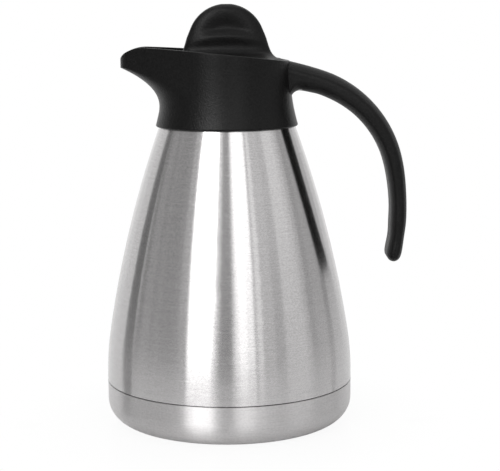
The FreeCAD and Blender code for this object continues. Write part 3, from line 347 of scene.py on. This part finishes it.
# Name, radiance of the lower and of the upper part, left edge and right edge.
PANELS = [
    ("rear_flag", 0.96, 0.96, upright(-168), upright(-150)),
    ("rear_wing", 0.89, 0.89, upright(-150), upright(-134)),
    ("rear_side", 0.82, 0.82, upright(-134), REAR_LEFT),
    ("rear_card", 0.20, 0.20, REAR_LEFT, REAR_RIGHT),
    ("rear_edge", 0.65, 0.40, REAR_RIGHT, REAR_END),
    ("left_shade", 0.34, 0.34, REAR_END, leaning(-95.5)),
    ("left_glow", 0.44, 0.44, leaning(-95.5), leaning(-83.5)),
    ("left_dip", 0.38, 0.38, leaning(-83.5), leaning(-78)),
    ("left_band", 0.42, 0.42, leaning(-78), leaning(-71.5)),
    ("left_card", 0.39, 0.39, leaning(-71.5), leaning(-57)),
    ("left_rise", 0.42, 0.43, leaning(-57), leaning(-50)),
    ("key_edge", 0.52, 0.64, leaning(-50), KEY_LEFT),
    ("key_strip", 2.2, 2.6, KEY_LEFT, KEY_RIGHT),
    ("key_fade", 0.95, 1.05, KEY_RIGHT, KEY_END),
    ("gap_card", 0.37, 0.50, KEY_END, STRIP_EDGE),
    ("strip_edge", 0.90, 1.10, STRIP_EDGE, STRIP_LEFT),
    ("strip_left", 1.4, 2.1, STRIP_LEFT, leaning(9.5)),
    ("strip_middle", 1.85, 2.4, leaning(9.5), leaning(17)),
    ("strip_right", 1.5, 2.1, leaning(17), leaning(24.5)),
    ("thin_gap", 0.7, 0.7, leaning(24.5), leaning(27.3)),
    ("near_fill", 1.15, 1.24, leaning(27.3), leaning(32.3)),
    ("middle_fill", 0.72, 0.84, leaning(32.3), leaning(45)),
    ("middle_card", 0.56, 0.78, leaning(45), leaning(55.5)),
    ("right_fill", 0.80, 1.00, leaning(55.5), leaning(73)),
    ("right_edge", 0.80, 0.86, leaning(73), leaning(80)),
    ("right_fade", 0.66, 0.70, leaning(80), leaning(86)),
    ("right_card", 0.48, 0.50, leaning(86), leaning(95)),
    ("right_back", 0.54, 0.56, leaning(95), SIDE_LEFT),
    ("side_line", 0.38, 0.50, SIDE_LEFT, SIDE_RIGHT),
    ("side_card", 0.58, 0.66, SIDE_RIGHT, upright(136)),
    ("side_wing", 0.77, 0.82, upright(136), upright(150)),
    ("side_flag", 0.91, 0.91, upright(150), upright(168)),
]


def shine(name, radiance):
    """Material that only gives off light."""
    material = bpy.data.materials.new(name)
    material.use_nodes = True
    light = Stage(material.node_tree)
    glow = light.add("ShaderNodeEmission")
    glow.inputs["Color"].default_value = WHITE
    glow.inputs["Strength"].default_value = radiance
    out = light.add("ShaderNodeOutputMaterial")
    light.join(glow.outputs["Emission"], out.inputs["Surface"])
    return material


def add_mesh(name, corners, faces, materials):
    """Piece of the studio."""
    mesh = bpy.data.meshes.new(name)
    mesh.from_pydata(corners, [], faces)
    for material in materials:
        mesh.materials.append(material)
    item = bpy.data.objects.new(name, mesh)
    scene.collection.objects.link(item)
    return item


def add_light(name, corners, faces, *radiances):
    """Sheet that is seen only in reflections and as light, with its radiances from the floor up."""
    materials = [shine(f"{name}_{part}", radiance) for part, radiance in enumerate(radiances)]
    sheet = add_mesh(name, corners, faces, materials)
    for face in sheet.data.polygons:
        face.material_index = len(radiances) * face.index // len(faces)
    sheet.visible_camera = False


def round_axis_point(azimuth, radius, height):
    angle = math.radians(azimuth)
    return (radius * math.sin(angle), -radius * math.cos(angle), height)


# Flat steps in which a panel goes round the object.
ARC_STEPS = 8


def arc_rows(radius, rows):
    """Corners and faces of a sheet through rows of (left azimuth, right azimuth, height)."""
    corners = []
    for left, right, height in rows:
        for step in range(ARC_STEPS + 1):
            azimuth = left + (right - left) * step / ARC_STEPS
            corners.append(round_axis_point(azimuth, radius, height))
    width = ARC_STEPS + 1
    faces = [
        (start, start + 1, start + width + 1, start + width)
        for level in range(len(rows) - 1)
        for start in range(level * width, level * width + ARC_STEPS)
    ]
    return corners, faces


for name, low, high, left, right in PANELS:
    add_light(name, *arc_rows(PANEL_DISTANCE, list(zip(left, right, PANEL_HEIGHTS))), low, high)

# The head of the key strip is brighter, so that it shows on faces that lean back.
HEAD_DISTANCE = 1.25
HEAD_ROWS = [(-40, -15, 0.68), (-42.2, -15, 1.08)]
HEAD_RADIANCE = 11.0
add_light("key_head", *arc_rows(HEAD_DISTANCE, HEAD_ROWS), HEAD_RADIANCE)

# How near to the body and how far from it a tongue reaches, and its height over the floor.
TONGUE_NEAR, TONGUE_FAR = 0.05, 1.2
TONGUE_LIFT = 0.0005


def add_tongue(name, radiance, tip, left, right):
    """Strip of the floor that carries a card on towards a point of the body that mirrors it."""
    corners = []
    for reach, edges in ((TONGUE_NEAR, (left, right)), (TONGUE_FAR, (right, left))):
        for edge in edges:
            side, back, lift = round_axis_point(edge[0], reach, TONGUE_LIFT)
            corners.append((tip[0] + side, tip[1] + back, lift))
    add_light(name, corners, [(0, 1, 2, 3)], radiance)


add_tongue("rear_tongue", 0.40, (-0.060, -0.036), REAR_LEFT, REAR_RIGHT)
add_tongue("side_tongue", 0.60, (0.053, -0.037), SIDE_LEFT, SIDE_RIGHT)

overhead = bpy.data.lights.new("overhead", "AREA")
overhead.shape = "RECTANGLE"
overhead.size = 1.4
overhead.size_y = 1.0
overhead.energy = 4
overhead_lamp = bpy.data.objects.new("overhead", overhead)
overhead_lamp.location = (-0.1, -0.1, 1.7)
overhead_lamp.visible_camera = False
scene.collection.objects.link(overhead_lamp)

# Floor: white where it is seen, with the object's shadow close to it, and darker in front.
floor_material = bpy.data.materials.new("floor")
floor_material.use_nodes = True
floor = Stage(floor_material.node_tree)
place = floor.add("ShaderNodeTexCoord").outputs["Object"]
place_parts = floor.add("ShaderNodeSeparateXYZ")
floor.join(place, place_parts.inputs["Vector"])
depth = place_parts.outputs["Y"]
distance = floor.add("ShaderNodeVectorMath", operation="LENGTH")
floor.join(place, distance.inputs[0])
away = floor.eased(distance.outputs["Value"], first=0.06, last=0.13, low=0.93, high=1.0)
behind = floor.eased(depth, first=-0.02, last=0.12, low=0.0, high=0.20)
share = floor.number("MULTIPLY", away, floor.seen_white(behind))
table = floor.add("ShaderNodeBsdfPrincipled")
shade = floor.eased(depth, first=-0.6, last=-0.25, low=0.15, high=0.80)
floor.join(shade, table.inputs["Base Color"])
table.inputs["Roughness"].default_value = 0.12
table.inputs["IOR"].default_value = 1.6
white = floor.add("ShaderNodeEmission")
white.inputs["Strength"].default_value = 1.0
mixed = floor.add("ShaderNodeMixShader")
floor_out = floor.add("ShaderNodeOutputMaterial")
floor.join(share, mixed.inputs["Fac"])
floor.join(table.outputs["BSDF"], mixed.inputs[1])
floor.join(white.outputs["Emission"], mixed.inputs[2])
floor.join(mixed.outputs["Shader"], floor_out.inputs["Surface"])
FLOOR_HALF = 6.0
floor_corners = [
    (-FLOOR_HALF, -FLOOR_HALF, 0), (FLOOR_HALF, -FLOOR_HALF, 0),
    (FLOOR_HALF, FLOOR_HALF, 0), (-FLOOR_HALF, FLOOR_HALF, 0),
]
add_mesh("floor", floor_corners, [(0, 1, 2, 3)], [floor_material])

# World: a plain grey room that is brighter behind the object, and white where it is seen.
world = bpy.data.worlds.new("studio")
scene.world = world
world.use_nodes = True
sky = Stage(world.node_tree)
direction = sky.add("ShaderNodeSeparateXYZ")
sky.join(sky.add("ShaderNodeTexCoord").outputs["Generated"], direction.inputs["Vector"])
backwards = direction.outputs["Y"]
room = sky.eased(backwards, first=-0.2, last=0.6, low=0.45, high=0.9)
backdrop = sky.eased(backwards, first=-0.3, last=0.1, low=0.0, high=1.0)
strength = sky.number("MAXIMUM", room, sky.seen_white(backdrop))
sky_light = sky.add("ShaderNodeBackground")
sky_out = sky.add("ShaderNodeOutputWorld")
sky.join(strength, sky_light.inputs["Strength"])
sky_light.inputs["Color"].default_value = WHITE
sky.join(sky_light.outputs["Background"], sky_out.inputs["Surface"])

# Camera at the photograph's viewing angle, with its place in metres and its angles in radians.
CAMERA_PLACE = (0, -0.8065, 0.22845)
PITCH_DOWN = 0.1547
ROLL = -0.009
camera_data = bpy.data.cameras.new("camera")
camera_data.sensor_width = 36.0
camera_data.lens = 105.9
camera_data.shift_x = 0.0437
camera_data.shift_y = 0.0004
camera = bpy.data.objects.new("camera", camera_data)
scene.collection.objects.link(camera)
stand = Matrix.Translation(CAMERA_PLACE)
tilt = Matrix.Rotation(math.pi / 2 - PITCH_DOWN, 4, "X")
camera.matrix_world = stand @ tilt @ Matrix.Rotation(ROLL, 4, "Z")
scene.camera = camera
scene.view_settings.view_transform = "Standard"
